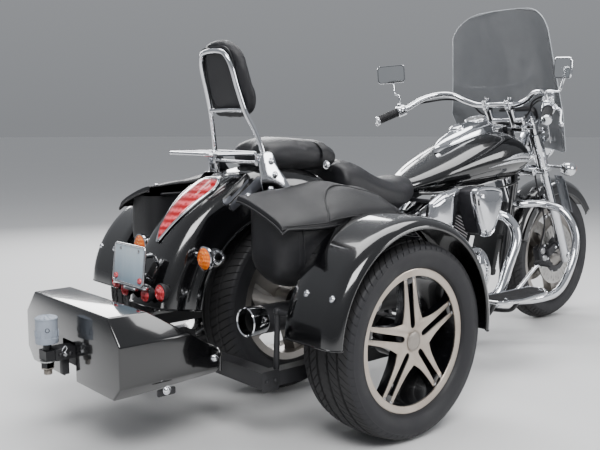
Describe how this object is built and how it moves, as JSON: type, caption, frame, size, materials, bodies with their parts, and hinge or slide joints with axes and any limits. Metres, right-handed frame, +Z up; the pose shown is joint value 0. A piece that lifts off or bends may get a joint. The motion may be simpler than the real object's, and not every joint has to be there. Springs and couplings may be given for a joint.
{
  "type": "motorized trike",
  "caption": "Cruiser motorcycle carried by a bolt-on outboard wheel at each side of its rear wheel, with tow bar, windshield, saddlebags and passenger backrest.",
  "frame": {"origin": "centre of the whole machine's footprint box, on the ground", "axes": "+X forward, +Y to the rider's left, +Z up"},
  "size_m": [2.938, 1.408, 1.4614],
  "materials": {
    "black_frame": "gloss black enamel",
    "engine_casting": "satin black coating on a casting",
    "chrome": "polished",
    "black_paint": "high gloss black",
    "seat_leather": "black hide, semi-gloss",
    "red_lens": "clear red",
    "amber_lens": "clear amber",
    "plate_metal": "blank pale blue-white sheet in a chrome surround",
    "hitch_metal": "satin black",
    "cap_plastic": "grey-blue moulding",
    "black_plastic": "satin black",
    "rubber_black": "ribbed",
    "radiator_core": "black finned core",
    "screen": "clear bent sheet",
    "cast_wheel": "machined faces over black pockets",
    "tyre_rubber": "black",
    "brushed_metal": "satin"
  },
  "bodies": {
    "chassis": {"frame_spine": "black_frame", "frame_cradle": "black_frame", "engine": "engine_casting", "cylinders": "engine_casting", "air_cleaner": "chrome", "radiator": "radiator_core", "exhaust": "chrome", "fuel_tank": "black_paint", "tank_console": "chrome", "rider_seat": "seat_leather", "passenger_seat": "seat_leather", "side_covers": "chrome", "rear_mudguard": "black_paint", "tail_lamp": "red_lens", "number_plate": "plate_metal", "rear_lamps": "amber_lens", "swingarm": "black_frame", "rear_shocks": "chrome", "backrest_bar": "chrome", "backrest_pad": "seat_leather", "luggage_rack": "chrome", "left_saddlebag": "seat_leather", "right_saddlebag": "seat_leather", "left_outboard_mudguard": "black_paint", "right_outboard_mudguard": "black_paint", "outrigger_beams": "hitch_metal", "outrigger_arms": "hitch_metal", "tow_cover": "black_paint", "tow_bar": "hitch_metal", "tow_ball_cap": "cap_plastic", "engine_guards": "chrome", "floorboards": "rubber_black", "foot_controls": "chrome"},
    "steering": {"fork": "chrome", "brake_calipers": "brushed_metal", "handlebar": "chrome", "hand_controls": "black_plastic", "mirrors": "chrome", "windshield": "screen", "headlight": "chrome", "front_mudguard": "black_paint", "front_turn_signals": "amber_lens"},
    "front_wheel": {"front_rim": "cast_wheel", "front_tyre": "tyre_rubber"},
    "drive_wheel": {"drive_rim": "cast_wheel", "drive_tyre": "tyre_rubber"},
    "left_wheel": {"left_rim": "cast_wheel", "left_tyre": "tyre_rubber"},
    "right_wheel": {"right_rim": "cast_wheel", "right_tyre": "tyre_rubber"},
    "left_lid": {"left_bag_lid": "seat_leather"},
    "right_lid": {"right_bag_lid": "seat_leather"}
  },
  "joints": [
    {"name": "steer", "type": "hinge", "parent": "chassis", "child": "steering", "pos_m": [0.84261, 0, 0.82888], "axis": [-0.4384, 0, 0.8988], "range_deg": [-35, 35]},
    {"name": "front_wheel_spin", "type": "hinge", "parent": "steering", "child": "front_wheel", "pos_m": [1.144, 0, 0.325], "axis": [0, 1, 0], "continuous": true},
    {"name": "drive_wheel_spin", "type": "hinge", "parent": "chassis", "child": "drive_wheel", "pos_m": [-0.546, 0, 0.329], "axis": [0, 1, 0], "continuous": true},
    {"name": "left_wheel_spin", "type": "hinge", "parent": "chassis", "child": "left_wheel", "pos_m": [-0.576, 0, 0.306], "axis": [0, 1, 0], "continuous": true},
    {"name": "right_wheel_spin", "type": "hinge", "parent": "chassis", "child": "right_wheel", "pos_m": [-0.576, 0, 0.306], "axis": [0, 1, 0], "continuous": true},
    {"name": "left_lid_hinge", "type": "hinge", "parent": "chassis", "child": "left_lid", "pos_m": [-0.666, 0.253, 0.708], "axis": [1, 0, 0], "range_deg": [0, 75]},
    {"name": "right_lid_hinge", "type": "hinge", "parent": "chassis", "child": "right_lid", "pos_m": [-0.666, -0.253, 0.708], "axis": [-1, 0, 0], "range_deg": [0, 75]}
  ]
}
